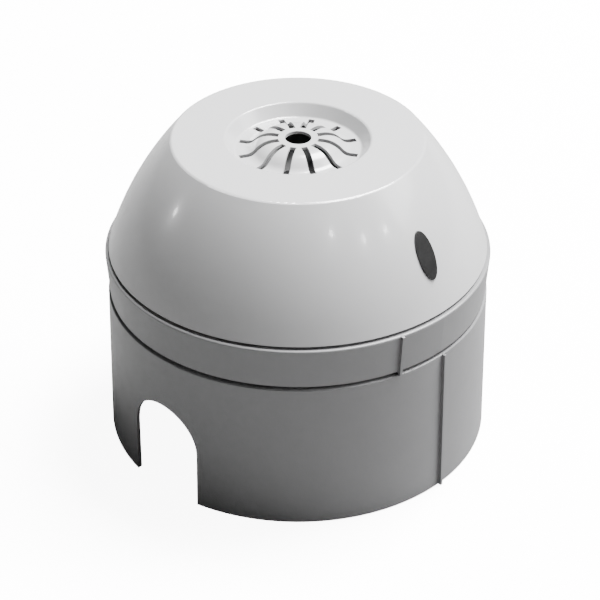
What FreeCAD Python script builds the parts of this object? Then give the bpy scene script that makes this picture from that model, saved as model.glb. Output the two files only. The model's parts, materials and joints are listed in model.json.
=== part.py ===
"""Round electronic alarm siren: a deep mounting skirt, a twist-on sounder head and its inside parts.

Millimetres, +Z out of the wall, origin at the middle of the skirt's foot. The conduit arch faces -Y
and the status lens faces +X.
"""

import FreeCAD, Part
import math
import os
import re
import Sketcher

doc = FreeCAD.newDocument("alarm_siren")
sizes = doc.addObject("Spreadsheet::Sheet", "sizes")

DIMENSIONS = {
    # outside of the case
    "skirt_foot_radius": 50.3,
    "skirt_top_radius": 49.65,
    "skirt_top": 40.8,
    "skirt_wall": 2.4,
    "seam_gap": 0.8,
    "band_foot_radius": 49.2,
    "ledge_radius": 50.05,
    "ledge_top": 52.6,
    "ledge_edge": 0.45,
    "dome_centre": -36.68,
    "dome_middle": 25.68,
    "dome_arc": 90.15,
    "plateau_top": 83.85,
    "plateau_edge": 1.0,
    "plateau_edge_drop": 0.3546,
    "plateau_edge_set": 0.464,
    "shell_wall": 2.5,
    "skirt_edge": 0.3,
    "mark_width": 0.7,
    "mark_proud": 0.9,
    "band_mark_angle": 344.1,
    "skirt_mark_angle": 0.6,
    # conduit arch in the skirt
    "arch_radius": 11.0,
    "arch_spring": 15.5,
    "relief_radius": 49.0,
    "relief_half_angle": 16.5,
    "relief_top": 26.9,
    # recess and rosette in the plateau
    "recess_radius": 18.5,
    "recess_floor_radius": 16.2,
    "recess_floor": 80.6,
    "rim_round": 0.8,
    "rim_set": 0.414,
    "rim_side": 0.239,
    "rim_drop": 0.338,
    "hub_top": 83.7,
    "hub_top_radius": 6.6,
    "hub_knee_radius": 11.36,
    "hub_knee": 81.592,
    "hub_foot_radius": 13.6,
    "hub_wall": 0.8,
    "knee_out": 0.7404,
    "knee_up": 0.6721,
    "hub_shoulder_arc": 6.429,
    "hub_foot_arc": 3.025,
    "port_radius": 3.35,
    "slot_count": 12,
    "slot_start": 5.1,
    "slot_end": 15.4,
    "slot_half_width": 0.8,
    # status lens in the side of the dome
    "lens_height": 67.45,
    "lens_tilt": 27.6,
    "lens_half_length": 6.45,
    "lens_half_width": 2.75,
    "lens_clearance": 0.06,
    "lens_flange": 1.0,
    "lens_proud": 0.35,
    # joint between the dome and the head chassis
    "tongue_in_radius": 46.95,
    "tongue_out_radius": 48.05,
    "tongue_foot": 51.6,
    "channel_in_radius": 46.8,
    "channel_out_radius": 48.2,
    "channel_floor": 50.3,
    # head chassis
    "chassis_under": 44.0,
    "chassis_floor": 46.0,
    "chassis_wall_radius": 46.4,
    "collar_radius": 45.4,
    "collar_foot": 49.2,
    "spigot_in_radius": 44.6,
    "spigot_out_radius": 46.6,
    "spigot_foot": 36.5,
    "groove_radius": 45.7,
    "groove_foot": 38.0,
    "groove_top": 39.5,
    # mounting base and its bayonet
    "plate_under": 29.2,
    "plate_top": 31.7,
    "plate_radius": 46.7,
    "shelf_radius": 45.4,
    "shelf_depth": 1.8,
    "skirt_bore_radius": 47.0,
    "bayonet_wall_in": 39.4,
    "bayonet_wall_out": 41.0,
    "bayonet_top": 38.6,
    "bayonet_ledge_under": 36.9,
    "bayonet_ledge_in": 37.6,
    "lug_in": 35.6,
    "leg_out": 37.2,
    "lug_out": 39.1,
    "lug_foot": 34.9,
    "lug_top": 36.6,
    "lug_half_angle": 7.0,
    "ledge_half_angle": 7.5,
    "stop_near_angle": 7.2,
    "stop_far_angle": 10.0,
    "fixing_pitch": 55.0,
    "fixing_half_slide": 5.95,
    "fixing_half_width": 2.3,
    "cable_hole_radius": 9.5,
    "cable_radius": 3.5,
    "grommet_flange_radius": 11.5,
    "grommet_flange": 1.6,
    # fasteners and their bosses
    "base_screw_ring": 44.0,
    "base_boss_radius": 3.6,
    "base_boss_depth": 9.2,
    "base_screw_depth": 8.0,
    "dome_screw_ring": 41.5,
    "dome_boss_radius": 3.2,
    "dome_boss_top": 62.0,
    "screw_radius": 1.3,
    "screw_head_radius": 2.7,
    "screw_head": 1.9,
    "screw_clear_radius": 1.6,
    "cross_half_length": 1.5,
    "cross_half_width": 0.28,
    "cross_depth": 0.9,
    "board_screw_ring": 33.0,
    "board_screw_radius": 1.1,
    "board_post_radius": 3.0,
    # terminals and contacts
    "contact_count": 4,
    "post_near": 19.0,
    "post_far": 33.5,
    "post_half_width": 4.5,
    "post_top": 36.0,
    "strip_near": 20.0,
    "strip_far": 33.0,
    "strip_half_width": 4.0,
    "strip": 0.8,
    "terminal_ring": 23.0,
    "clamp_half": 3.2,
    "contact_near": 27.5,
    "contact_width": 4.0,
    "contact_thickness": 0.4,
    "contact_pin_side": 3.4,
    "contact_pin_top": 50.2,
    "contact_bend": 42.5,
    # printed circuit board and what it carries
    "board_radius": 37.5,
    "board_under": 48.0,
    "board_top": 49.6,
    "switch_y": -14.0,
    "switch_length": 12.0,
    "switch_width": 6.0,
    "switch_under": 44.6,
    "lever_pitch": 2.6,
    "lever_side": 1.0,
    "lever_length": 1.4,
    "lever_foot": 43.7,
    "lever_root": 45.6,
    "lever_slot_side": 1.2,
    "lever_slot_length": 3.3,
    "lever_slot_root": 45.7,
    "lever_travel": 1.7,
    "pot_y": 14.0,
    "pot_side": 7.0,
    "pot_under": 44.4,
    "rotor_radius": 2.4,
    "rotor_bore_radius": 2.45,
    "rotor_foot": 43.8,
    "rotor_root": 46.0,
    "window_margin": 0.5,
    "led_x": 34.5,
    "led_radius": 2.5,
    "led_rim_radius": 2.9,
    "led_rim": 1.0,
    "led_shoulder": 55.5,
    "holder_side": 6.4,
    "holder_top": 60.0,
    "guide_foot": 58.4,
    "guide_side": 4.2,
    "guide_inset": 3.9,
    "guide_half_face": 4.5,
    "guide_knee": 61.0,
    "guide_back": 66.5,
    # loudspeaker driver
    "gasket_in": 21.9,
    "gasket_out": 25.0,
    "gasket_top": 76.0,
    "flange_top": 75.2,
    "flange_under": 74.2,
    "flange_radius": 25.4,
    "driver_boss_ring": 28.9,
    "driver_boss_radius": 3.0,
    "driver_head_radius": 4.6,
    "driver_head": 1.6,
    "yoke_under": 54.0,
    "yoke_top": 56.5,
    "yoke_radius": 14.0,
    "pole_radius": 6.2,
    "magnet_in": 8.5,
    "magnet_out": 15.0,
    "magnet_top": 62.5,
    "gap_plate_in": 7.6,
    "gap_plate_out": 14.0,
    "gap_plate_top": 65.5,
    "basket_foot_in": 9.5,
    "basket_sheet": 0.9,
    "basket_step": 16.4,
    "spider_seat": 67.2,
    "former_in": 6.5,
    "former_out": 6.75,
    "former_foot": 60.6,
    "former_top": 69.4,
    "coil_out": 7.25,
    "coil_foot": 61.8,
    "coil_top": 66.2,
    "cone_neck": 68.6,
    "cone_edge_radius": 18.0,
    "cone_edge": 74.75,
    "cone_sheet": 0.45,
    "surround_out": 21.6,
    "cap_radius": 7.6,
    "cap_height": 2.6,
    "lead_radius": 0.55,
    "lead_x": -26.6,
    "lead_spread": 3.0,
    "tag_under": 73.2,
}

WORDS = re.compile(r"[a-z][a-z_]*[a-z]")
CONTACT_TURN = 45.0
BAYONET_TURN = 60.0
BAYONET_COUNT = 3
DRIVER_SCREW_COUNT = 4
LEVER_COUNT = 4

for row, (alias, size) in enumerate(DIMENSIONS.items(), start=1):
    sizes.set(f"A{row}", alias)
    sizes.set(f"B{row}", str(size))
    sizes.setAlias(f"B{row}", alias)
doc.recompute()

kept = []


# ---- helpers: expressions, sketches and features ----


def bound(text):
    """The expression with every size's alias written with the sheet's name."""
    return WORDS.sub(
        lambda m: f"sizes.{m.group()}" if m.group() in DIMENSIONS else m.group(),
        str(text),
    )


def keep(thing, label):
    """Marks an object as a sub-part, whose label names its file."""
    thing.Label = label
    kept.append(thing)
    return thing


def new_body(label, several=False):
    body = doc.addObject("PartDesign::Body", label)
    body.AllowCompound = several
    return keep(body, label)


def origin_of(body, role):
    return next(f for f in body.Origin.OriginFeatures if f.Role == role)


def new_sketch(body, role="XZ_Plane", turn=None, lift=None):
    """A sketch on one of the body's own planes, turned about Z or lifted off the plane."""
    sketch = body.newObject("Sketcher::SketchObject", f"{body.Name}_sketch")
    sketch.AttachmentSupport = [(origin_of(body, role), "")]
    sketch.MapMode = "FlatFace"
    up = FreeCAD.Vector(0, 0, 1) if role == "XY_Plane" else FreeCAD.Vector(0, 1, 0)
    if turn is not None:
        angle = sketch.evalExpression(bound(turn))
        sketch.AttachmentOffset = FreeCAD.Placement(
            FreeCAD.Vector(), FreeCAD.Rotation(up, angle)
        )
        sketch.setExpression("AttachmentOffset.Rotation.Angle", bound(turn))
    if lift is not None:
        sketch.setExpression("AttachmentOffset.Base.z", bound(lift))
    return sketch


def tie(sketch, kind, geometry, point, text):
    """Holds one coordinate of a point to an expression."""
    size = float(sketch.evalExpression(bound(text)))
    if abs(size) < 1e-9:
        axis = -2 if kind == "DistanceX" else -1
        sketch.addConstraint(
            Sketcher.Constraint("PointOnObject", geometry, point, axis)
        )
        return
    held = sketch.addConstraint(Sketcher.Constraint(kind, geometry, point, size))
    sketch.setExpression(f"Constraints[{held}]", bound(text))


def arc_between(start, end, radius):
    """An arc from start to end, and which of its ends is the start; radius above 0 bulges to the right."""
    chord = end - start
    half = chord.Length / 2
    left = FreeCAD.Vector(-chord.y, chord.x, 0).normalize()
    reach = math.sqrt(max(radius * radius - half * half, 0))
    centre = (start + end) * 0.5 + left * (reach if radius > 0 else -reach)
    circle = Part.Circle(centre, FreeCAD.Vector(0, 0, 1), abs(radius))
    first, last = circle.parameter(start), circle.parameter(end)
    if radius > 0:
        return Part.ArcOfCircle(circle, first, last), 1, 2
    return Part.ArcOfCircle(circle, last, first), 2, 1


def outline(sketch, corners, arcs=None):
    """A closed outline through corners given as pairs of expressions; arcs gives a side's radius."""
    arcs = arcs or {}
    spots = [
        FreeCAD.Vector(*(float(sketch.evalExpression(bound(c))) for c in corner))
        for corner in corners
    ]
    sides = []
    for i, start in enumerate(spots):
        end = spots[(i + 1) % len(spots)]
        if i in arcs:
            radius = float(sketch.evalExpression(bound(arcs[i])))
            shape, first, last = arc_between(start, end, radius)
        else:
            shape, first, last = Part.LineSegment(start, end), 1, 2
        sides.append((sketch.addGeometry(shape, False), first, last))
    for i, (side, first, _) in enumerate(sides):
        before, _, last = sides[i - 1]
        sketch.addConstraint(
            Sketcher.Constraint("Coincident", before, last, side, first)
        )
        tie(sketch, "DistanceX", side, first, corners[i][0])
        tie(sketch, "DistanceY", side, first, corners[i][1])
    for i, text in arcs.items():
        size = abs(float(sketch.evalExpression(bound(text))))
        held = sketch.addConstraint(Sketcher.Constraint("Radius", sides[i][0], size))
        sketch.setExpression(f"Constraints[{held}]", f"abs({bound(text)})")


def ring(sketch, x, y, radius):
    """A circle with its centre and radius held to expressions."""
    centre = [float(sketch.evalExpression(bound(c))) for c in (x, y)]
    size = float(sketch.evalExpression(bound(radius)))
    geometry = sketch.addGeometry(
        Part.Circle(FreeCAD.Vector(*centre), FreeCAD.Vector(0, 0, 1), size), False
    )
    tie(sketch, "DistanceX", geometry, 3, x)
    tie(sketch, "DistanceY", geometry, 3, y)
    held = sketch.addConstraint(Sketcher.Constraint("Radius", geometry, size))
    sketch.setExpression(f"Constraints[{held}]", bound(radius))


def rectangle(sketch, x_low, x_high, y_low, y_high):
    outline(
        sketch, [(x_low, y_low), (x_high, y_low), (x_high, y_high), (x_low, y_high)]
    )


def sector(sketch, near, far, first, last):
    """A piece of a flat ring between two radii and two angles."""
    outline(
        sketch,
        [
            (f"({near}) * cos({first})", f"({near}) * sin({first})"),
            (f"({far}) * cos({first})", f"({far}) * sin({first})"),
            (f"({far}) * cos({last})", f"({far}) * sin({last})"),
            (f"({near}) * cos({last})", f"({near}) * sin({last})"),
        ],
        {1: far, 3: f"-({near})"},
    )


def long_hole(sketch, middle, half_slide, half_width):
    """A slot along X with round ends, as straight sides and quarter arcs."""
    low, high = f"{middle} - {half_slide}", f"{middle} + {half_slide}"
    outline(
        sketch,
        [
            (low, f"-{half_width}"),
            (high, f"-{half_width}"),
            (f"{high} + {half_width}", "0"),
            (high, half_width),
            (low, half_width),
            (f"{low} - {half_width}", "0"),
        ],
        {1: half_width, 2: half_width, 4: half_width, 5: half_width},
    )


def ellipse(sketch, half_length, half_width):
    """An upright ellipse about the sketch's origin."""
    long, wide = (
        float(sketch.evalExpression(bound(t))) for t in (half_length, half_width)
    )
    geometry = sketch.addGeometry(
        Part.Ellipse(
            FreeCAD.Vector(0, long), FreeCAD.Vector(wide, 0), FreeCAD.Vector()
        ),
        False,
    )
    sketch.exposeInternalGeometry(geometry)
    major, minor = geometry + 1, geometry + 2
    sketch.addConstraint(Sketcher.Constraint("Coincident", geometry, 3, -1, 1))
    sketch.addConstraint(Sketcher.Constraint("Vertical", major))
    for line, size, text in ((major, long, half_length), (minor, wide, half_width)):
        held = sketch.addConstraint(Sketcher.Constraint("Distance", line, 2 * size))
        sketch.setExpression(f"Constraints[{held}]", f"2 * ({bound(text)})")


def feature(body, kind, sketch, length=None, reverse=False, both=False, through=False):
    """A pad or pocket of a sketch, along the plane's normal unless reversed."""
    made = body.newObject(f"PartDesign::{kind}", f"{body.Name}_{kind.lower()}")
    made.Profile = sketch
    made.Reversed = reverse
    if both:
        made.SideType = "Symmetric"
    if through:
        made.Type = "ThroughAll"
    else:
        made.setExpression("Length", bound(length))
    return made


def revolve(body, sketch, kind="Revolution"):
    made = body.newObject(f"PartDesign::{kind}", f"{body.Name}_{kind.lower()}")
    made.Profile = sketch
    made.ReferenceAxis = (sketch, ["V_Axis"])
    made.Angle = 360
    return made


def around(body, features, count):
    """Repeats features about the Z axis and makes the pattern the body's tip."""
    pattern = body.newObject("PartDesign::PolarPattern", f"{body.Name}_pattern")
    pattern.Originals = features
    pattern.Axis = (origin_of(body, "Z_Axis"), [""])
    pattern.Angle = 360
    if count in DIMENSIONS:
        pattern.setExpression("Occurrences", bound(count))
    else:
        pattern.Occurrences = count
    body.Tip = pattern
    return pattern


def turned(label, corners, arcs=None):
    """A body of revolution about Z from an outline of radius and height."""
    body = new_body(label)
    sketch = new_sketch(body)
    outline(sketch, corners, arcs)
    revolve(body, sketch)
    return body


def seal(label, radius, height, section):
    body = new_body(label)
    sketch = new_sketch(body)
    ring(sketch, radius, height, section)
    revolve(body, sketch)
    return body


def round_pad(body, ring_radius, radius, foot, length, count=1):
    """A round post standing up from a height, repeated about Z."""
    sketch = new_sketch(body, "XY_Plane", lift=foot)
    ring(sketch, ring_radius, "0", radius)
    pad = feature(body, "Pad", sketch, length)
    return around(body, [pad], count) if count != 1 else pad


def round_pocket(body, ring_radius, radius, top, depth, count=1, turn=None):
    """A round hole sunk from a height, repeated about Z."""
    sketch = new_sketch(body, "XY_Plane", turn=turn, lift=top)
    ring(sketch, ring_radius, "0", radius)
    pocket = feature(body, "Pocket", sketch, depth)
    return around(body, [pocket], count) if count != 1 else pocket


def block(name, x, y, foot, length, width, height):
    """A box centred on x, y and standing on foot."""
    made = doc.addObject("Part::Box", name)
    for side, text in (("Length", length), ("Width", width), ("Height", height)):
        made.setExpression(side, bound(text))
    made.setExpression("Placement.Base.x", bound(f"{x} - ({length}) / 2"))
    made.setExpression("Placement.Base.y", bound(f"{y} - ({width}) / 2"))
    made.setExpression("Placement.Base.z", bound(foot))
    return made


def rod(name, x, y, foot, radius, height):
    """An upright cylinder."""
    made = doc.addObject("Part::Cylinder", name)
    made.setExpression("Radius", bound(radius))
    made.setExpression("Height", bound(height))
    for axis, text in (("x", x), ("y", y), ("z", foot)):
        made.setExpression(f"Placement.Base.{axis}", bound(text))
    return made


def joined(name, pieces):
    made = doc.addObject("Part::MultiFuse", name)
    made.Shapes = pieces
    return made


def less(name, base, tool):
    made = doc.addObject("Part::Cut", name)
    made.Base, made.Tool = base, tool
    return made


def grouped(label, pieces):
    """Separate solids kept together as one sub-part."""
    made = doc.addObject("Part::Compound", label)
    made.Links = pieces
    return keep(made, label)


def screws(label, ring_radius, seat, length, count, turn, up=False, head="screw_head", wide=None):
    """Cross-head screws on a circle; seat is the height of the face under the head."""
    body = new_body(label, several=True)
    head_sketch = new_sketch(body, "XY_Plane", lift=seat)
    ring(head_sketch, ring_radius, "0", wide or "screw_head_radius")
    head_pad = feature(body, "Pad", head_sketch, head, reverse=up)
    shank_sketch = new_sketch(body, "XY_Plane", lift=seat)
    ring(shank_sketch, ring_radius, "0", "screw_radius")
    shank_pad = feature(body, "Pad", shank_sketch, length, reverse=not up)
    crown = f"({seat}) - {head}" if up else f"({seat}) + {head}"
    made = [head_pad, shank_pad]
    bars = (
        ("cross_half_length", "cross_half_width"),
        ("cross_half_width", "cross_half_length"),
    )
    for half_x, half_y in bars:
        cross = new_sketch(body, "XY_Plane", lift=crown)
        rectangle(
            cross,
            f"({ring_radius}) - {half_x}",
            f"({ring_radius}) + {half_x}",
            f"-{half_y}",
            half_y,
        )
        made.append(feature(body, "Pocket", cross, "cross_depth", reverse=up))
    around(body, made, count)
    body.Placement = FreeCAD.Placement(
        FreeCAD.Vector(), FreeCAD.Rotation(FreeCAD.Vector(0, 0, 1), turn)
    )
    return body


def dome_radius(height, inset="0"):
    """The radius of the dome's arc at a height, measured inset below its outer face."""
    return f"(dome_centre + sqrt((dome_arc - {inset})^2 - ({height} - dome_middle)^2))"


# ---- mounting base: skirt, plate, grommet, terminals ----


def base_skirt():
    body = new_body("base_skirt")
    sketch = new_sketch(body)
    corners = [
        ("skirt_foot_radius - skirt_wall", "0"),
        ("skirt_foot_radius", "0"),
        ("skirt_top_radius", "skirt_top - skirt_edge"),
        ("skirt_top_radius - skirt_edge", "skirt_top"),
        ("skirt_bore_radius", "skirt_top"),
        ("skirt_bore_radius", "plate_under"),
        ("shelf_radius", "plate_under"),
        ("shelf_radius", "plate_under - shelf_depth"),
        ("skirt_bore_radius + 0.35", "plate_under - 2 * shelf_depth"),
    ]
    outline(sketch, corners, {2: "skirt_edge"})
    revolve(body, sketch)
    round_pad(
        body,
        "base_screw_ring",
        "base_boss_radius",
        "plate_under - base_boss_depth",
        "base_boss_depth",
        BAYONET_COUNT,
    )
    round_pocket(
        body,
        "base_screw_ring",
        "screw_radius",
        "plate_under",
        "base_screw_depth",
        BAYONET_COUNT,
    )
    arch = new_sketch(body)
    outline(
        arch,
        [
            ("-arch_radius", "-1"),
            ("arch_radius", "-1"),
            ("arch_radius", "arch_spring"),
            ("0", "arch_spring + arch_radius"),
            ("-arch_radius", "arch_spring"),
        ],
        {2: "arch_radius", 3: "arch_radius"},
    )
    feature(body, "Pocket", arch, "skirt_foot_radius + 2", reverse=True)
    relief = new_sketch(body, "XY_Plane", turn="270")
    sector(
        relief,
        "shelf_radius - 1",
        "relief_radius",
        "-relief_half_angle",
        "relief_half_angle",
    )
    feature(body, "Pocket", relief, "relief_top", reverse=True)
    mark = new_sketch(body, turn="skirt_mark_angle")
    outline(
        mark,
        [
            ("skirt_foot_radius - 1.5", "0"),
            ("skirt_foot_radius + mark_proud", "0"),
            ("skirt_top_radius + mark_proud", "skirt_top"),
            ("skirt_top_radius - 1.5", "skirt_top"),
        ],
    )
    feature(body, "Pad", mark, "mark_width", both=True)
    return body


def mounting_base():
    body = new_body("mounting_base")
    sketch = new_sketch(body)
    outline(
        sketch,
        [
            ("cable_hole_radius", "plate_under"),
            ("plate_radius", "plate_under"),
            ("plate_radius", "plate_top"),
            ("bayonet_wall_out", "plate_top"),
            ("bayonet_wall_out", "bayonet_top"),
            ("bayonet_wall_in", "bayonet_top"),
            ("bayonet_wall_in", "plate_top"),
            ("cable_hole_radius", "plate_top"),
        ],
    )
    revolve(body, sketch)
    ledge = new_sketch(
        body, "XY_Plane", turn=BAYONET_TURN, lift="bayonet_ledge_under"
    )
    sector(
        ledge,
        "bayonet_ledge_in",
        "bayonet_wall_in + 0.6",
        "-stop_far_angle",
        "ledge_half_angle",
    )
    ledge_pad = feature(body, "Pad", ledge, "bayonet_top - bayonet_ledge_under")
    around(body, [ledge_pad], BAYONET_COUNT)
    stop = new_sketch(body, "XY_Plane", turn=BAYONET_TURN, lift="plate_top")
    sector(
        stop,
        "bayonet_ledge_in",
        "bayonet_wall_in + 0.6",
        "-stop_far_angle",
        "-stop_near_angle",
    )
    stop_pad = feature(body, "Pad", stop, "bayonet_top - plate_top")
    around(body, [stop_pad], BAYONET_COUNT)
    post = new_sketch(body, "XY_Plane", turn=CONTACT_TURN, lift="plate_top")
    rectangle(post, "post_near", "post_far", "-post_half_width", "post_half_width")
    post_pad = feature(body, "Pad", post, "post_top - plate_top")
    around(body, [post_pad], "contact_count")
    round_pocket(
        body,
        "terminal_ring",
        "screw_radius",
        "post_top",
        "post_top - plate_top",
        "contact_count",
        CONTACT_TURN,
    )
    round_pocket(
        body,
        "base_screw_ring",
        "screw_clear_radius",
        "plate_top",
        "plate_top - plate_under + 1",
        BAYONET_COUNT,
    )
    fixing = new_sketch(body, "XY_Plane", lift="plate_top")
    long_hole(fixing, "fixing_pitch / 2", "fixing_half_slide", "fixing_half_width")
    cut = feature(body, "Pocket", fixing, "plate_top - plate_under + 1")
    around(body, [cut], 2)
    return body


def cable_grommet():
    flange = "grommet_flange"
    return turned(
        "cable_grommet",
        [
            ("cable_radius", f"plate_under - {flange}"),
            ("grommet_flange_radius", f"plate_under - {flange}"),
            ("grommet_flange_radius", "plate_under"),
            ("cable_hole_radius", "plate_under"),
            ("cable_hole_radius", "plate_top"),
            ("grommet_flange_radius", "plate_top"),
            ("grommet_flange_radius - 1", f"plate_top + {flange}"),
            ("cable_radius + 1.5", f"plate_top + {flange}"),
            ("cable_radius + 1.5", "plate_under"),
            ("cable_radius", "plate_under"),
        ],
    )


def contact_plates():
    body = new_body("contact_plates", several=True)
    strip = new_sketch(body, "XY_Plane", lift="post_top")
    rectangle(strip, "strip_near", "strip_far", "-strip_half_width", "strip_half_width")
    pad = feature(body, "Pad", strip, "strip")
    hole = new_sketch(body, "XY_Plane", lift="post_top + strip")
    ring(hole, "terminal_ring", "0", "screw_clear_radius")
    cut = feature(body, "Pocket", hole, "strip + 1")
    around(body, [pad, cut], "contact_count")
    body.Placement = turned_placement(CONTACT_TURN)


def terminal_clamps():
    body = new_body("terminal_clamps", several=True)
    plate = new_sketch(body, "XY_Plane", lift="post_top + strip")
    rectangle(
        plate,
        "terminal_ring - clamp_half",
        "terminal_ring + clamp_half",
        "-clamp_half",
        "clamp_half",
    )
    pad = feature(body, "Pad", plate, "strip")
    hole = new_sketch(body, "XY_Plane", lift="post_top + 2 * strip")
    ring(hole, "terminal_ring", "0", "screw_clear_radius")
    cut = feature(body, "Pocket", hole, "strip + 1")
    around(body, [pad, cut], "contact_count")
    body.Placement = turned_placement(CONTACT_TURN)


def turned_placement(angle):
    return FreeCAD.Placement(
        FreeCAD.Vector(), FreeCAD.Rotation(FreeCAD.Vector(0, 0, 1), angle)
    )


# ---- head: chassis, dome, lens, seals ----


def head_chassis():
    body = new_body("head_chassis")
    sketch = new_sketch(body)
    under, band_foot = "chassis_under", "skirt_top + seam_gap"
    corners = [
        ("0", under),
        ("spigot_in_radius", under),
        ("spigot_in_radius", "spigot_foot"),
        ("spigot_out_radius", "spigot_foot"),
        ("spigot_out_radius", "groove_foot"),
        ("groove_radius", "groove_foot"),
        ("groove_radius", "groove_top"),
        ("spigot_out_radius", "groove_top"),
        ("spigot_out_radius", band_foot),
        ("band_foot_radius", band_foot),
        ("ledge_radius", "ledge_top - ledge_edge"),
        ("ledge_radius - ledge_edge", "ledge_top"),
        ("channel_out_radius", "ledge_top"),
        ("channel_out_radius", "channel_floor"),
        ("channel_in_radius", "channel_floor"),
        ("channel_in_radius", "ledge_top"),
        ("collar_radius", "ledge_top"),
        ("collar_radius", "collar_foot"),
        ("chassis_wall_radius", "collar_foot - 1"),
        ("chassis_wall_radius", "chassis_floor"),
        ("0", "chassis_floor"),
    ]
    outline(sketch, corners, {10: "ledge_edge"})
    revolve(body, sketch)
    leg = new_sketch(body, "XY_Plane", turn=BAYONET_TURN, lift="lug_foot")
    sector(leg, "lug_in", "leg_out", "-lug_half_angle", "lug_half_angle")
    leg_pad = feature(body, "Pad", leg, "chassis_under - lug_foot + 0.5")
    around(body, [leg_pad], BAYONET_COUNT)
    lug = new_sketch(body, "XY_Plane", turn=BAYONET_TURN, lift="lug_foot")
    sector(lug, "leg_out - 0.5", "lug_out", "-lug_half_angle", "lug_half_angle")
    lug_pad = feature(body, "Pad", lug, "lug_top - lug_foot")
    around(body, [lug_pad], BAYONET_COUNT)
    post = new_sketch(body, "XY_Plane", turn=BAYONET_TURN / 2, lift="chassis_under")
    ring(post, "board_screw_ring", "0", "board_post_radius")
    post_pad = feature(body, "Pad", post, "board_under - chassis_under")
    around(body, [post_pad], BAYONET_COUNT)
    round_pocket(
        body,
        "board_screw_ring",
        "board_screw_radius",
        "board_under",
        "board_under - chassis_under - 0.8",
        BAYONET_COUNT,
        BAYONET_TURN / 2,
    )
    round_pocket(
        body,
        "dome_screw_ring",
        "screw_clear_radius",
        "chassis_floor",
        "chassis_floor - chassis_under + 1",
        BAYONET_COUNT,
        BAYONET_TURN,
    )
    pins = new_sketch(body, "XY_Plane", turn=CONTACT_TURN, lift="chassis_floor")
    rectangle(
        pins,
        "contact_near - window_margin",
        "contact_near + contact_width + window_margin",
        "-contact_pin_side - window_margin",
        "-contact_pin_side + contact_thickness + window_margin",
    )
    pin_cut = feature(body, "Pocket", pins, "chassis_floor - chassis_under + 1")
    around(body, [pin_cut], "contact_count")
    windows = new_sketch(body, "XY_Plane", lift="chassis_floor")
    rectangle(
        windows,
        "-switch_length / 2 - window_margin",
        "switch_length / 2 + window_margin",
        "switch_y - switch_width / 2 - window_margin",
        "switch_y + switch_width / 2 + window_margin",
    )
    rectangle(
        windows,
        "-pot_side / 2 - window_margin",
        "pot_side / 2 + window_margin",
        "pot_y - pot_side / 2 - window_margin",
        "pot_y + pot_side / 2 + window_margin",
    )
    feature(body, "Pocket", windows, "chassis_floor - chassis_under + 1")
    mark = new_sketch(body, turn="band_mark_angle")
    outline(
        mark,
        [
            ("band_foot_radius - 0.5", "skirt_top + 0.1"),
            ("band_foot_radius + mark_proud", "skirt_top + 0.1"),
            ("ledge_radius + mark_proud", "ledge_top"),
            ("band_foot_radius - 0.5", "ledge_top"),
        ],
    )
    feature(body, "Pad", mark, "mark_width", both=True)
    return body


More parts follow.
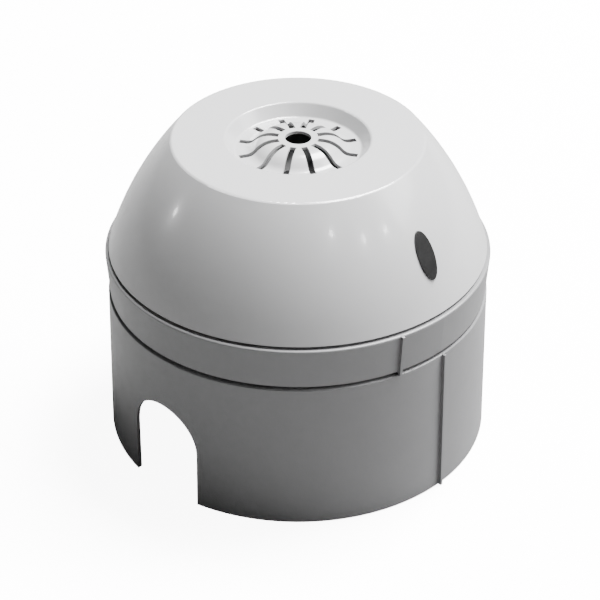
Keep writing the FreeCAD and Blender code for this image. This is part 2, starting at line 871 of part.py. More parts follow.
def dome_cover():
    body = new_body("dome_cover")
    sketch = new_sketch(body)
    foot = "ledge_top + seam_gap"
    inside = "plateau_top - shell_wall"
    corners = [
        (dome_radius(foot), foot),
        (dome_radius("plateau_top - plateau_edge_drop"), "plateau_top - plateau_edge_drop"),
        (f"{dome_radius('plateau_top')} - plateau_edge_set", "plateau_top"),
        ("recess_radius + rim_set", "plateau_top"),
        ("recess_radius - rim_side", "plateau_top - rim_drop"),
        ("recess_floor_radius + rim_side", "recess_floor + rim_drop"),
        ("recess_floor_radius - rim_set", "recess_floor"),
        ("hub_foot_radius", "recess_floor"),
        ("hub_knee_radius", "hub_knee"),
        ("hub_top_radius", "hub_top"),
        ("port_radius", "hub_top"),
        ("port_radius", "hub_top - hub_wall"),
        ("hub_top_radius", "hub_top - hub_wall"),
        ("hub_knee_radius - knee_out * hub_wall", "hub_knee - knee_up * hub_wall"),
        ("hub_foot_radius", "recess_floor - hub_wall"),
        ("recess_floor_radius + shell_wall", "recess_floor - hub_wall"),
        ("recess_radius + shell_wall - 0.2", inside),
        ("gasket_in", inside),
        ("gasket_in", "gasket_top"),
        ("gasket_out", "gasket_top"),
        ("gasket_out", inside),
        (dome_radius(inside, "shell_wall"), inside),
        (dome_radius(foot, "shell_wall"), foot),
        ("tongue_in_radius", foot),
        ("tongue_in_radius", "tongue_foot"),
        ("tongue_out_radius", "tongue_foot"),
        ("tongue_out_radius", foot),
    ]
    arcs = {
        0: "dome_arc",
        1: "plateau_edge",
        3: "rim_round",
        5: "-rim_round",
        7: "-hub_foot_arc",
        8: "hub_shoulder_arc",
        12: "-(hub_shoulder_arc - hub_wall)",
        13: "hub_foot_arc + hub_wall",
        21: "-(dome_arc - shell_wall)",
    }
    outline(sketch, corners, arcs)
    revolve(body, sketch)
    boss = new_sketch(body, "XY_Plane", turn=BAYONET_TURN, lift="chassis_floor")
    ring(boss, "dome_screw_ring", "0", "dome_boss_radius")
    boss_pad = feature(body, "Pad", boss, "dome_boss_top - chassis_floor")
    around(body, [boss_pad], BAYONET_COUNT)
    web = new_sketch(body, turn=BAYONET_TURN)
    outline(
        web,
        [
            ("dome_screw_ring + 1.8", "ledge_top + 1.5"),
            (f"{dome_radius('(ledge_top + 1.5)')} - 1", "ledge_top + 1.5"),
            (f"{dome_radius('(ledge_top + 8)')} - 1", "ledge_top + 8"),
            ("dome_screw_ring + 1.8", "ledge_top + 8"),
        ],
    )
    web_pad = feature(body, "Pad", web, "1.6", both=True)
    around(body, [web_pad], BAYONET_COUNT)
    round_pocket_up(
        body, "dome_screw_ring", "chassis_floor", "12", BAYONET_COUNT, BAYONET_TURN
    )
    ears = new_sketch(body, "XY_Plane", turn=CONTACT_TURN, lift="flange_under")
    ring(ears, "driver_boss_ring", "0", "driver_boss_radius")
    ear_pad = feature(body, "Pad", ears, "plateau_top - flange_under - 2")
    around(body, [ear_pad], DRIVER_SCREW_COUNT)
    round_pocket_up(
        body, "driver_boss_ring", "flange_under", "5", DRIVER_SCREW_COUNT, CONTACT_TURN
    )
    slot = new_sketch(body, "XY_Plane", lift="hub_top + 1")
    rectangle(slot, "slot_start", "slot_end", "-slot_half_width", "slot_half_width")
    cut = feature(body, "Pocket", slot, "hub_top - recess_floor + shell_wall + 1.5")
    around(body, [cut], "slot_count")
    feature(body, "Pocket", lens_sketch(body, "0"), "4 * shell_wall", both=True)
    return body


def round_pocket_up(body, ring_radius, foot, depth, count, turn):
    """A screw's pilot hole going up from a height, repeated about Z."""
    sketch = new_sketch(body, "XY_Plane", turn=turn, lift=foot)
    ring(sketch, ring_radius, "0", "screw_radius")
    pocket = feature(body, "Pocket", sketch, depth, reverse=True)
    around(body, [pocket], count)


def lens_sketch(body, margin):
    """An ellipse on the plane that touches the dome at the lens, margin larger all round."""
    sketch = body.newObject("Sketcher::SketchObject", f"{body.Name}_lens_outline")
    sketch.AttachmentSupport = [(origin_of(body, "YZ_Plane"), "")]
    sketch.MapMode = "FlatFace"
    tilt = -sketch.evalExpression(bound("lens_tilt"))
    sketch.AttachmentOffset = FreeCAD.Placement(
        FreeCAD.Vector(), FreeCAD.Rotation(FreeCAD.Vector(-1, 0, 0), -tilt)
    )
    sketch.setExpression("AttachmentOffset.Rotation.Angle", bound("lens_tilt"))
    sketch.setExpression("AttachmentOffset.Base.y", bound("lens_height"))
    sketch.setExpression("AttachmentOffset.Base.z", bound(dome_radius("lens_height")))
    ellipse(sketch, f"lens_half_length + {margin}", f"lens_half_width + {margin}")
    return sketch


def dome_slice(name, outer, inner):
    """A ring of the dome's wall between two depths below its face, at the lens's height."""
    body = doc.addObject("PartDesign::Body", name)
    sketch = new_sketch(body)
    low, high = "(lens_height - 11)", "(lens_height + 11)"
    outline(
        sketch,
        [
            (dome_radius(low, inner), low),
            (dome_radius(low, outer), low),
            (dome_radius(high, outer), high),
            (dome_radius(high, inner), high),
        ],
        {1: f"dome_arc - {outer}", 3: f"-(dome_arc - {inner})"},
    )
    revolve(body, sketch)
    return body


def lens_plug(name, margin):
    body = doc.addObject("PartDesign::Body", name)
    feature(body, "Pad", lens_sketch(body, margin), "6 * shell_wall", both=True)
    return body


def common(name, base, tool):
    made = doc.addObject("Part::Common", name)
    made.Base, made.Tool = base, tool
    return made


def status_lens():
    window = common(
        "lens_window",
        dome_slice("lens_window_slice", "(-lens_proud)", "shell_wall"),
        lens_plug("lens_window_plug", "(-lens_clearance)"),
    )
    flange = common(
        "lens_flange_ring",
        dome_slice("lens_flange_slice", "shell_wall", "(shell_wall + lens_flange)"),
        lens_plug("lens_flange_plug", "lens_flange"),
    )
    keep(joined("status_lens", [window, flange]), "status_lens")


def light_guide():
    """A clear bent prism that carries the lamp's light up to the back of the lens."""
    body = new_body("light_guide")
    sketch = new_sketch(body)
    middle_x = f"{dome_radius('lens_height')} - guide_inset * cos(lens_tilt)"
    middle_z = "lens_height - guide_inset * sin(lens_tilt)"
    low, high = "led_x - guide_side / 2", "led_x + guide_side / 2"
    outline(
        sketch,
        [
            (low, "guide_foot"),
            (high, "guide_foot"),
            (high, "guide_knee - 1"),
            (
                f"{middle_x} + guide_half_face * sin(lens_tilt)",
                f"{middle_z} - guide_half_face * cos(lens_tilt)",
            ),
            (
                f"{middle_x} - guide_half_face * sin(lens_tilt)",
                f"{middle_z} + guide_half_face * cos(lens_tilt)",
            ),
            (low, "guide_back"),
        ],
    )
    feature(body, "Pad", sketch, "guide_side", both=True)


# ---- printed circuit board and what it carries ----


def main_pcb():
    body = new_body("main_pcb")
    disc = new_sketch(body, "XY_Plane", lift="board_under")
    ring(disc, "0", "0", "board_radius")
    feature(body, "Pad", disc, "board_top - board_under")
    round_pocket(
        body,
        "board_screw_ring",
        "board_screw_radius + 0.15",
        "board_top",
        "board_top - board_under + 1",
        BAYONET_COUNT,
        BAYONET_TURN / 2,
    )
    pins = new_sketch(body, "XY_Plane", turn=CONTACT_TURN, lift="board_top")
    rectangle(
        pins,
        "contact_near - 0.1",
        "contact_near + contact_width + 0.1",
        "-contact_pin_side - 0.1",
        "-contact_pin_side + contact_thickness + 0.1",
    )
    cut = feature(body, "Pocket", pins, "board_top - board_under + 1")
    around(body, [cut], "contact_count")


def board_screws():
    body = new_body("board_screws", several=True)
    head = new_sketch(body, "XY_Plane", lift="board_top")
    ring(head, "board_screw_ring", "0", "screw_head_radius - 0.4")
    head_pad = feature(body, "Pad", head, "1.5")
    shank = new_sketch(body, "XY_Plane", lift="board_top")
    ring(shank, "board_screw_ring", "0", "board_screw_radius")
    shank_pad = feature(body, "Pad", shank, "4.4", reverse=True)
    cross = new_sketch(body, "XY_Plane", lift="board_top + 1.5")
    rectangle(
        cross,
        "board_screw_ring - 1.2",
        "board_screw_ring + 1.2",
        "-cross_half_width",
        "cross_half_width",
    )
    slot = feature(body, "Pocket", cross, "0.7")
    around(body, [head_pad, shank_pad, slot], BAYONET_COUNT)
    body.Placement = turned_placement(BAYONET_TURN / 2)


def contact_springs():
    """Bent bronze strips that stand in the board and press on the base's contact plates."""
    body = new_body("contact_springs", several=True)
    strip = new_sketch(body, "YZ_Plane", lift="contact_near")
    thick, side, tip = "contact_thickness", "contact_pin_side", "(post_top + strip)"
    outline(
        strip,
        [
            (f"-{side}", "contact_pin_top"),
            (f"-{side}", "contact_bend"),
            ("-0.6", tip),
            ("0.9", tip),
            ("2.5", f"{tip} + 1.5"),
            ("2.2", f"{tip} + 1.78"),
            ("0.73", f"{tip} + {thick}"),
            ("-0.35", f"{tip} + {thick}"),
            (f"-{side} + {thick}", "contact_bend + 0.1"),
            (f"-{side} + {thick}", "contact_pin_top"),
        ],
    )
    pad = feature(body, "Pad", strip, "contact_width")
    around(body, [pad], "contact_count")
    body.Placement = turned_placement(CONTACT_TURN)


def lever_x(index):
    return f"{index - (LEVER_COUNT - 1) / 2} * lever_pitch"


def dip_switch():
    """The tone selector: a moulded body with one open slot for each lever."""
    case = block(
        "dip_case",
        "0",
        "switch_y",
        "switch_under",
        "switch_length",
        "switch_width",
        "board_under - switch_under",
    )
    slots = [
        block(
            f"dip_slot_{i}",
            lever_x(i),
            "switch_y",
            "switch_under - 1",
            "lever_slot_side",
            "lever_slot_length",
            "lever_slot_root - switch_under + 1",
        )
        for i in range(LEVER_COUNT)
    ]
    keep(less("dip_switch", case, joined("dip_slots", slots)), "dip_switch")


def dip_levers():
    for i in range(LEVER_COUNT):
        lever = block(
            f"dip_lever_{i + 1}",
            lever_x(i),
            "switch_y - lever_travel / 2",
            "lever_foot",
            "lever_side",
            "lever_length",
            "lever_root - lever_foot",
        )
        keep(lever, f"dip_lever_{i + 1}")


def volume_pot():
    case = block(
        "pot_case",
        "0",
        "pot_y",
        "pot_under",
        "pot_side",
        "pot_side",
        "board_under - pot_under",
    )
    bore = rod(
        "pot_bore",
        "0",
        "pot_y",
        "pot_under - 1",
        "rotor_bore_radius",
        "rotor_root - pot_under + 1.05",
    )
    keep(less("volume_pot", case, bore), "volume_pot")
    disc = rod(
        "rotor_disc", "0", "pot_y", "rotor_foot", "rotor_radius", "rotor_root - rotor_foot"
    )
    nick = block("rotor_nick", "0", "pot_y", "rotor_foot - 1", "0.7", "5.4", "1.8")
    keep(less("volume_rotor", disc, nick), "volume_rotor")


def status_led():
    rim = rod("led_rim_disc", "led_x", "0", "board_top", "led_rim_radius", "led_rim")
    can = rod(
        "led_can", "led_x", "0", "board_top", "led_radius", "led_shoulder - board_top"
    )
    tip = doc.addObject("Part::Sphere", "led_tip")
    tip.setExpression("Radius", bound("led_radius"))
    tip.setExpression("Placement.Base.x", bound("led_x"))
    tip.setExpression("Placement.Base.z", bound("led_shoulder"))
    keep(joined("status_led", [rim, can, tip]), "status_led")


def led_holder():
    case = block(
        "holder_case",
        "led_x",
        "0",
        "board_top",
        "holder_side",
        "holder_side",
        "holder_top - board_top",
    )
    rim = rod("holder_rim", "led_x", "0", "board_top - 1", "led_rim_radius + 0.1", "led_rim + 1.1")
    bore = rod(
        "holder_bore",
        "led_x",
        "0",
        "board_top",
        "led_radius + 0.1",
        "guide_foot - board_top + 0.05",
    )
    socket = block(
        "holder_socket",
        "led_x",
        "0",
        "guide_foot",
        "guide_side + 0.1",
        "guide_side + 0.1",
        "3",
    )
    hollow = joined("holder_hollow", [rim, bore, socket])
    keep(less("led_holder", case, hollow), "led_holder")


def transformer():
    """The step-up transformer: a ferrite frame round a wound bobbin."""
    x, y = "-18.5", "16"
    frame = block("core_frame", x, y, "board_top", "13", "11", "12")
    window = block("core_window", x, y, "board_top + 2", "9", "13", "8")
    limb = block("core_limb", x, y, "board_top + 1.8", "3", "4", "8.4")
    keep(
        joined("transformer_core", [less("core_ring", frame, window), limb]),
        "transformer_core",
    )
    coil = block("coil_pack", x, y, "board_top + 2.2", "8.4", "14", "7.6")
    hole = block("coil_hole", x, y, "board_top + 1", "3.2", "4.2", "10")
    keep(less("transformer_winding", coil, hole), "transformer_winding")


def board_parts():
    cans = [
        rod(f"capacitor_{i}", x, y, "board_top", radius, height)
        for i, (x, y, radius, height) in enumerate(
            (("13.5", "-17.5", "4", "11.5"), ("26", "-11", "3.15", "11"), ("6", "-25", "2.5", "7"))
        )
    ]
    grouped("capacitors", cans)
    keep(block("controller_chip", "17", "14", "board_top", "10", "6", "1.9"), "controller_chip")
    tab = block("amplifier_tab", "-17.35", "-19", "board_top + 8", "1.3", "10", "7.5")
    case = block("amplifier_case", "-15.5", "-19", "board_top + 0.5", "4.6", "10", "9")
    keep(joined("amplifier", [case, tab]), "amplifier")
    back = block("sink_back", "-18.8", "-19", "board_top", "1.6", "14", "17")
    wings = [
        block(f"sink_wing_{i}", "-21.8", f"-19 + {side} * 6.2", "board_top", "5.6", "1.6", "17")
        for i, side in enumerate((-1, 1))
    ]
    keep(joined("heat_sink", [back, *wings]), "heat_sink")
    small = []
    spots = (("8", "5"), ("12", "5"), ("8", "23"), ("13", "23"), ("18", "23"), ("26", "8"))
    for i, (x, y) in enumerate(spots):
        small.append(block(f"chip_part_{i}", x, y, "board_top", "3.2", "1.6", "0.9"))
    grouped("surface_parts", small)


# ---- loudspeaker driver ----


def driver_magnets():
    turned(
        "driver_yoke",
        [
            ("0", "yoke_under"),
            ("yoke_radius", "yoke_under"),
            ("yoke_radius", "yoke_top"),
            ("pole_radius", "yoke_top"),
            ("pole_radius", "gap_plate_top"),
            ("0", "gap_plate_top"),
        ],
    )
    for label, near, far, foot, top in (
        ("driver_magnet", "magnet_in", "magnet_out", "yoke_top", "magnet_top"),
        (
            "driver_top_plate",
            "gap_plate_in",
            "gap_plate_out",
            "magnet_top",
            "gap_plate_top",
        ),
    ):
        turned(label, [(near, foot), (far, foot), (far, top), (near, top)])


def driver_basket():
    """The pressed frame: foot ring, seat for the spider, windowed wall and front flange."""
    sheet = "basket_sheet"
    body = turned(
        "driver_basket",
        [
            ("basket_foot_in", "gap_plate_top"),
            ("basket_step - 0.3", "gap_plate_top"),
            ("gasket_in + 0.4", "flange_under"),
            ("flange_radius", "flange_under"),
            ("flange_radius", "flange_top"),
            ("surround_out - 0.7", "flange_top"),
            ("surround_out - 0.7", "flange_under - 0.1"),
            ("basket_step", f"spider_seat + 0.2"),
            ("basket_step - 0.4", "spider_seat"),
            ("basket_step - 2.6", "spider_seat"),
            ("basket_step - 3.2", f"gap_plate_top + {sheet}"),
            ("basket_foot_in", f"gap_plate_top + {sheet}"),
        ],
    )
    window = new_sketch(body, "XY_Plane", lift="spider_seat + 1")
    sector(window, "basket_step - 2", "flange_radius", "-24", "24")
    cut = feature(body, "Pocket", window, "flange_under - spider_seat - 2.4", reverse=True)
    around(body, [cut], DRIVER_SCREW_COUNT)


def half_roll(label, near, far, height, sheet, lip):
    """A half-round suspension roll with a flat lip each side."""
    middle = f"(({near}) + ({far})) / 2"
    outer, inner = f"(({far}) - ({near})) / 2", f"(({far}) - ({near})) / 2 - {sheet}"
    return turned(
        label,
        [
            (f"{near} - {lip}", height),
            (f"{near} + {sheet}", height),
            (middle, f"{height} + {inner}"),
            (f"{far} - {sheet}", height),
            (f"{far} + {lip}", height),
            (f"{far} + {lip}", f"{height} + {sheet}"),
            (f"{far}", f"{height} + {sheet}"),
            (middle, f"{height} + {outer} + {sheet}"),
            (near, f"{height} + {sheet}"),
            (f"{near} - {lip}", f"{height} + {sheet}"),
        ],
        {
            1: f"-({inner} + 0.02)",
            2: f"-({inner} + 0.02)",
            6: f"{outer} + 0.02",
            7: f"{outer} + 0.02",
        },
    )


def driver_suspension():
    half_roll(
        "driver_surround",
        "cone_edge_radius + 0.3",
        "surround_out - 0.3",
        "flange_top",
        "0.3",
        "0.5",
    )
    corners_low, corners_high = [], []
    steps = 6
    for i in range(steps + 1):
        radius = f"former_out + (basket_step - 0.6 - former_out) * {i} / {steps}"
        rise = 0.25 if i % 2 else 0.0
        corners_low.append((radius, f"spider_seat + {rise}"))
        corners_high.append((radius, f"spider_seat + {rise} + 0.3"))
    turned("driver_spider", corners_low + corners_high[::-1])


def moving_parts():
    sheet = "cone_sheet"
    turned(
        "driver_cone",
        [
            ("former_out", "cone_neck"),
            ("former_out + 0.8", "cone_neck"),
            ("cone_edge_radius - 0.4", "cone_edge"),
            ("cone_edge_radius + 0.2", "cone_edge"),
            ("cone_edge_radius + 0.2", f"cone_edge + {sheet}"),
            ("cone_edge_radius - 0.6", f"cone_edge + {sheet}"),
            ("former_out + 0.4", f"cone_neck + {sheet} + 0.2"),
            ("former_out", f"cone_neck + {sheet} + 0.2"),
        ],
    )
    foot = "former_top"
    turned(
        "dust_cap",
        [
            ("0", f"{foot} + cap_height - 0.3"),
            ("1.5", f"{foot} + cap_height - 0.3"),
            ("cap_radius - 1.2", f"{foot} + 0.7"),
            ("cap_radius - 0.8", foot),
            ("cap_radius", f"{foot} + 0.35"),
            ("cap_radius - 0.6", f"{foot} + 0.9"),
            ("1.5", f"{foot} + cap_height"),
            ("0", f"{foot} + cap_height"),
        ],
        {1: "-9", 5: "9.3"},
    )
    turned(
        "coil_former",
        [
            ("former_in", "former_foot"),
            ("former_out", "former_foot"),
            ("former_out", "former_top"),
            ("former_in", "former_top"),
        ],
    )
    turned(
        "voice_coil",
        [
            ("former_out", "coil_foot"),
            ("coil_out", "coil_foot"),
            ("coil_out", "coil_top"),
            ("former_out", "coil_top"),
        ],
    )


def driver_gasket():
    turned(
        "driver_gasket",
        [
            ("gasket_in", "flange_top"),
            ("gasket_out", "flange_top"),
            ("gasket_out", "gasket_top"),
            ("gasket_in", "gasket_top"),
        ],
    )


def driver_wiring():
    """A tag board under the basket's flange and the two leads up to it from the circuit board."""
    board = block("tag_plate", "-25.6", "0", "tag_under", "5.4", "9", "flange_under - tag_under")
    keep(board, "driver_tag_board")
    leads = [
        rod(
            f"lead_{i}",
            "lead_x",
            f"{side} * lead_spread",
            "board_top",
            "lead_radius",
            "tag_under - board_top",
        )
        for i, side in enumerate((-1, 1))
    ]
    grouped("driver_leads", leads)


# ---- build everything, check it and write the files ----

base_skirt()
mounting_base()
cable_grommet()
contact_plates()
terminal_clamps()
screws(
    "terminal_screws",
    "terminal_ring",
    "post_top + 2 * strip",
    "post_top + 2 * strip - plate_top",
    4,
    CONTACT_TURN,
)
screws("base_screws", "base_screw_ring", "plate_top", "9.5", BAYONET_COUNT, 0)
head_chassis()
seal("base_seal", "groove_radius + 0.5", "(groove_foot + groove_top) / 2", "0.5")
seal("dome_seal", "(channel_in_radius + channel_out_radius) / 2", "channel_floor + 0.65", "0.65")
dome_cover()
status_lens()
light_guide()
screws(
    "dome_screws",
    "dome_screw_ring",
    "chassis_under",
    "12",
    BAYONET_COUNT,
    BAYONET_TURN,
    up=True,
)
main_pcb()
board_screws()
contact_springs()
dip_switch()
dip_levers()
volume_pot()
status_led()
led_holder()
transformer()
board_parts()
driver_magnets()
driver_basket()
driver_suspension()
moving_parts()
driver_gasket()
screws(
    "driver_screws",
    "driver_boss_ring",
    "flange_under",
    "4.5",
    DRIVER_SCREW_COUNT,
    CONTACT_TURN,
    up=True,
    head="driver_head",
    wide="driver_head_radius",
)
driver_wiring()

doc.recompute()
failed = [
    o.Label for o in doc.Objects if "Invalid" in o.State or "Error" in o.State
]
if failed:
    raise SystemExit(f"objects failed to build: {failed}")
for piece in kept:
    shape = piece.Shape
    if shape.isNull() or not shape.isValid() or not shape.Solids:
        raise SystemExit(f"{piece.Label} has no valid solid")

os.makedirs("parts", exist_ok=True)
for piece in kept:
    piece.Shape.exportStep(os.path.join("parts", f"{piece.Label}.step"))
    print(piece.Label, len(piece.Shape.Solids), round(piece.Shape.Volume, 2))
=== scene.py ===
"""Looks of the alarm siren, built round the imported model.

Metres, +Z out of the wall, the conduit arch on -Y and the status lens on +X.
"""

import json
import math

import bpy
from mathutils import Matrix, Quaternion, Vector


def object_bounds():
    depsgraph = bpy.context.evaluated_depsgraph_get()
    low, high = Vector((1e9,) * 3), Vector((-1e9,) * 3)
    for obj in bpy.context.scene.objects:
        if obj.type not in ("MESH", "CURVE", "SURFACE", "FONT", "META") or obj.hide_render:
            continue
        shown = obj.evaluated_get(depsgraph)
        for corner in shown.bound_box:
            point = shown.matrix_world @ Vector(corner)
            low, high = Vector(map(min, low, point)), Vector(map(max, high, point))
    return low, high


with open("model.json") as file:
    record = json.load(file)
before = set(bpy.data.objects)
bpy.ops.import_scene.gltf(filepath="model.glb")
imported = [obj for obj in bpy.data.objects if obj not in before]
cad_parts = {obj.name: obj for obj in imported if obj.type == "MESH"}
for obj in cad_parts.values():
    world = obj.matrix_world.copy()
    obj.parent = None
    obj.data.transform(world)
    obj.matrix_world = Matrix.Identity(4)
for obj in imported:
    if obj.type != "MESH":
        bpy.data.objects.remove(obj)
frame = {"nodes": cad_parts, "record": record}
nodes = frame["nodes"]
cad_low, cad_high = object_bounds()

# ---- camera ----
CAMERA_AZIMUTH = math.radians(43.3)
CAMERA_ELEVATION = math.radians(33.65)
CAMERA_DISTANCE = 0.586
CAMERA_LENS = 132.8
CAMERA_ROLL = math.radians(0.2)
AIM_HEIGHT = 0.03445
AIM_ASIDE = 0.00061

up = Vector((0, 0, 1))
ahead = Vector((math.sin(CAMERA_AZIMUTH), -math.cos(CAMERA_AZIMUTH), 0))
aside = Vector((math.cos(CAMERA_AZIMUTH), math.sin(CAMERA_AZIMUTH), 0))


def make_camera():
    aim = aside * AIM_ASIDE + up * AIM_HEIGHT
    reach = ahead * math.cos(CAMERA_ELEVATION) + up * math.sin(CAMERA_ELEVATION)
    data = bpy.data.cameras.new("camera")
    data.lens = CAMERA_LENS
    data.sensor_width = 36
    data.clip_start = 0.01
    made = bpy.data.objects.new("camera", data)
    made.location = aim + reach * CAMERA_DISTANCE
    facing = (-reach).to_track_quat("-Z", "Y") @ Quaternion((0, 0, 1), CAMERA_ROLL)
    made.rotation_euler = facing.to_euler()
    bpy.context.scene.collection.objects.link(made)
    bpy.context.scene.camera = made
    return made


camera = make_camera()

# ---- material building blocks ----
GLOSS_SCALE = 240
RELIEF_STRENGTH = 0.4
RELIEF_DETAIL = 3
WEAVE_WANDER = 0.4
MATERIALS = {}


def new_material(name):
    made = bpy.data.materials.new(name)
    made.use_nodes = True
    return made, made.node_tree, made.node_tree.nodes["Principled BSDF"]


def place_of(tree):
    """The object's own coordinates, in metres."""
    return tree.nodes.new("ShaderNodeTexCoord").outputs["Object"]


def noise(tree, scale, detail=4.0):
    """Cloudy noise, with scale in features per metre."""
    made = tree.nodes.new("ShaderNodeTexNoise")
    made.inputs["Scale"].default_value = scale
    made.inputs["Detail"].default_value = detail
    tree.links.new(place_of(tree), made.inputs["Vector"])
    return made.outputs["Fac"]


def weave(tree, scale, direction):
    """Even bands across one direction: turns of wire, machining marks or threads of a cloth."""
    made = tree.nodes.new("ShaderNodeTexWave")
    made.bands_direction = direction
    made.inputs["Scale"].default_value = scale
    made.inputs["Distortion"].default_value = WEAVE_WANDER
    tree.links.new(place_of(tree), made.inputs["Vector"])
    return made.outputs["Fac"]


def spread(tree, source, low, high):
    """Maps 0..1 to low..high."""
    made = tree.nodes.new("ShaderNodeMapRange")
    made.inputs["To Min"].default_value = low
    made.inputs["To Max"].default_value = high
    tree.links.new(source, made.inputs["Value"])
    return made.outputs["Result"]


def tint(tree, source, dark, light):
    made = tree.nodes.new("ShaderNodeMix")
    made.data_type = "RGBA"
    made.inputs["A"].default_value = (*dark, 1)
    made.inputs["B"].default_value = (*light, 1)
    tree.links.new(source, made.inputs["Factor"])
    return made.outputs["Result"]


def bump(tree, shader, source, depth):
    made = tree.nodes.new("ShaderNodeBump")
    made.inputs["Strength"].default_value = RELIEF_STRENGTH
    made.inputs["Distance"].default_value = depth
    tree.links.new(source, made.inputs["Height"])
    tree.links.new(made.outputs["Normal"], shader.inputs["Normal"])


def finish_of(
    slot, colour, rough, drift=0.04, gloss=0.03, grain=2600, depth=0.00002, metal=0.0, blotch=70, lines=None
):
    """Gives a slot a material with a slow drift of tone, an uneven gloss and a fine relief.

    drift and gloss are how far tone and roughness wander. The relief is a grain, or bands if lines
    gives their scale and direction, and depth is its height in metres.
    """
    made, tree, shader = new_material(slot)
    dark = tuple(c * (1 - drift) for c in colour)
    light = tuple(min(c * (1 + drift), 1) for c in colour)
    tree.links.new(tint(tree, noise(tree, blotch), dark, light), shader.inputs["Base Color"])
    dull = spread(tree, noise(tree, GLOSS_SCALE), rough - gloss, rough + gloss)
    tree.links.new(dull, shader.inputs["Roughness"])
    shader.inputs["Metallic"].default_value = metal
    relief = weave(tree, *lines) if lines else noise(tree, grain, RELIEF_DETAIL)
    bump(tree, shader, relief, depth)
    MATERIALS[slot] = made
    return shader


# ---- the case ----
cover = finish_of(
    "cover_gloss", (0.37, 0.37, 0.374), 0.24, drift=0.02, gloss=0.04, grain=420, depth=0.000012
)
cover.inputs["Coat Weight"].default_value = 0.25
cover.inputs["Coat Roughness"].default_value = 0.08
finish_of("case_grey", (0.155, 0.155, 0.158), 0.42, drift=0.05, gloss=0.05, grain=2200, depth=0.00003)
lens = finish_of(
    "lens_smoked", (0.012, 0.012, 0.012), 0.2, drift=0.6, gloss=0.06, blotch=260, grain=300, depth=0.00003
)
lens.inputs["Coat Weight"].default_value = 0.4
lens.inputs["Coat Roughness"].default_value = 0.05
finish_of("black_rubber", (0.022, 0.022, 0.023), 0.72, drift=0.2, grain=1800, depth=0.00005)

# ---- metal ----
finish_of("contact_brass", (0.72, 0.52, 0.24), 0.3, drift=0.1, gloss=0.08, metal=1.0)
finish_of("zinc_steel", (0.62, 0.63, 0.65), 0.34, drift=0.08, gloss=0.08, metal=1.0)
finish_of(
    "sink_aluminium", (0.68, 0.68, 0.69), 0.36, drift=0.05, gloss=0.06, metal=1.0, lines=(900, "X")
)
finish_of("former_aluminium", (0.70, 0.70, 0.71), 0.3, gloss=0.06, metal=1.0)
finish_of(
    "winding_copper", (0.60, 0.25, 0.10), 0.32, drift=0.12, metal=1.0, depth=0.00006, lines=(700, "Z")
)
finish_of(
    "ferrite", (0.045, 0.045, 0.05), 0.55, drift=0.25, gloss=0.1, metal=0.3, grain=3500, depth=0.00004
)
finish_of("basket_black", (0.02, 0.02, 0.021), 0.4, drift=0.2, gloss=0.08)

# ---- electronics ----
finish_of("board_green", (0.018, 0.13, 0.045), 0.3, drift=0.2, gloss=0.08, blotch=500, depth=0.00003)
finish_of("switch_blue", (0.03, 0.09, 0.32), 0.42)
finish_of("lever_white", (0.78, 0.78, 0.76), 0.38, drift=0.02)
finish_of("capacitor_sleeve", (0.012, 0.018, 0.045), 0.22, drift=0.1)
finish_of("black_plastic", (0.024, 0.024, 0.026), 0.5, drift=0.15)
finish_of("lead_red", (0.42, 0.02, 0.018), 0.42, drift=0.08)
lamp = finish_of("lamp_red", (0.50, 0.02, 0.015), 0.12, drift=0.05)
lamp.inputs["Coat Weight"].default_value = 0.5
clear = finish_of("clear_plastic", (0.86, 0.88, 0.89), 0.1, drift=0.02, depth=0.000008)
clear.inputs["Transmission Weight"].default_value = 0.75

# ---- loudspeaker ----
cloth = finish_of(
    "spider_cloth", (0.52, 0.33, 0.12), 0.85, drift=0.15, depth=0.00008, lines=(1200, "DIAGONAL")
)
cloth.inputs["Sheen Weight"].default_value = 0.3
finish_of("cone_black", (0.028, 0.028, 0.029), 0.5, drift=0.15, gloss=0.08, grain=900, depth=0.00004)

slots = {part["node"]: part["material_slot"] for part in frame["record"]["subparts"]}
for name, thing in nodes.items():
    thing.data.materials.clear()
    thing.data.materials.append(MATERIALS[slots[name]])

# ---- lights ----
# The dome's profile is one arc: its centre's distance from the axis, its centre's height, and its radius.
DOME_CENTRE = -0.03668
DOME_MIDDLE = 0.02568
DOME_ARC = 0.09015
GLINT_REACH = 1.2
GLINT_SIZE = 0.045
MID_HEIGHT = 0.045
WORLD_LIGHT = 0.14


def area_light(name, place, size, power, target=(0, 0, MID_HEIGHT)):
    data = bpy.data.lights.new(name, "AREA")
    data.size = size
    data.energy = power
    made = bpy.data.objects.new(name, data)
    made.location = place
    made.rotation_euler = (Vector(target) - Vector(place)).to_track_quat("-Z", "Y").to_euler()
    bpy.context.scene.collection.objects.link(made)


def glint(name, bearing, height, power):
    """A small lamp that shows as a glint on the dome, at a bearing from the camera's side and a height."""
    turn = math.radians(bearing)
    out = ahead * math.cos(turn) + aside * math.sin(turn)
    slope = math.asin((height - DOME_MIDDLE) / DOME_ARC)
    spot = out * (DOME_CENTRE + DOME_ARC * math.cos(slope)) + up * height
    normal = out * math.cos(slope) + up * math.sin(slope)
    view = (camera.location - spot).normalized()
    mirror = normal * (2 * view.dot(normal)) - view
    area_light(name, spot + mirror * GLINT_REACH, GLINT_SIZE, power, spot)


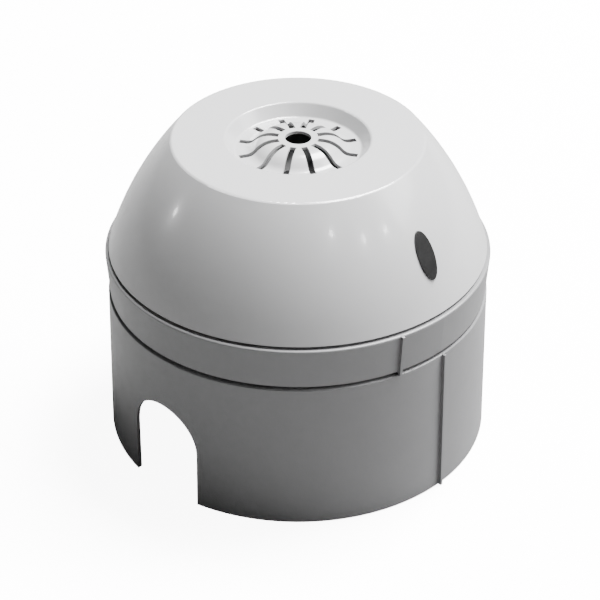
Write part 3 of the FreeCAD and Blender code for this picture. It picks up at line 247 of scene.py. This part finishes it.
area_light("key", aside * 1.2 - ahead * 0.1 + up * 0.9, 0.8, 22)
area_light("top", aside * 0.52 - ahead * 0.42 + up * 1.38, 0.7, 165)
glint("glint_a", 12.6, 0.0777, 0.9)
glint("glint_b", 24.5, 0.0755, 0.9)
glint("glint_c", 34.0, 0.0760, 0.9)
glint("glint_d", -52.0, 0.0760, 0.7)

world = bpy.data.worlds.new("studio")
world.use_nodes = True
world.node_tree.nodes["Background"].inputs["Color"].default_value = (1, 1, 1, 1)
world.node_tree.nodes["Background"].inputs["Strength"].default_value = WORLD_LIGHT
bpy.context.scene.world = world

# ---- floor ----
FLOOR = 4.0
FLOOR_GAP = 0.0002
FLOOR_GLOW = 9.0
BOUNCE_GREY = (0.22, 0.22, 0.22)
SEEN_WHITE = (0.9, 0.9, 0.9)
floor_mesh = bpy.data.meshes.new("floor")
floor_mesh.from_pydata(
    [(-FLOOR, -FLOOR, 0), (FLOOR, -FLOOR, 0), (FLOOR, FLOOR, 0), (-FLOOR, FLOOR, 0)], [], [(0, 1, 2, 3)]
)
floor = bpy.data.objects.new("floor", floor_mesh)
floor.location.z = cad_low[2] - FLOOR_GAP
bpy.context.scene.collection.objects.link(floor)
floor_material, floor_tree, floor_shader = new_material("floor_white")
floor_shader.inputs["Roughness"].default_value = 0.9
floor_shader.inputs["Specular IOR Level"].default_value = 0.0
# The floor looks white, and throws less light up at the case than white would.
seen = floor_tree.nodes.new("ShaderNodeLightPath").outputs["Is Camera Ray"]
floor_colour = tint(floor_tree, seen, BOUNCE_GREY, SEEN_WHITE)
floor_tree.links.new(floor_colour, floor_shader.inputs["Base Color"])
floor_shader.inputs["Emission Color"].default_value = (1, 1, 1, 1)
glow = floor_tree.nodes.new("ShaderNodeMath")
glow.operation = "MULTIPLY"
glow.inputs[1].default_value = FLOOR_GLOW
floor_tree.links.new(seen, glow.inputs[0])
floor_tree.links.new(glow.outputs[0], floor_shader.inputs["Emission Strength"])
floor_mesh.materials.append(floor_material)
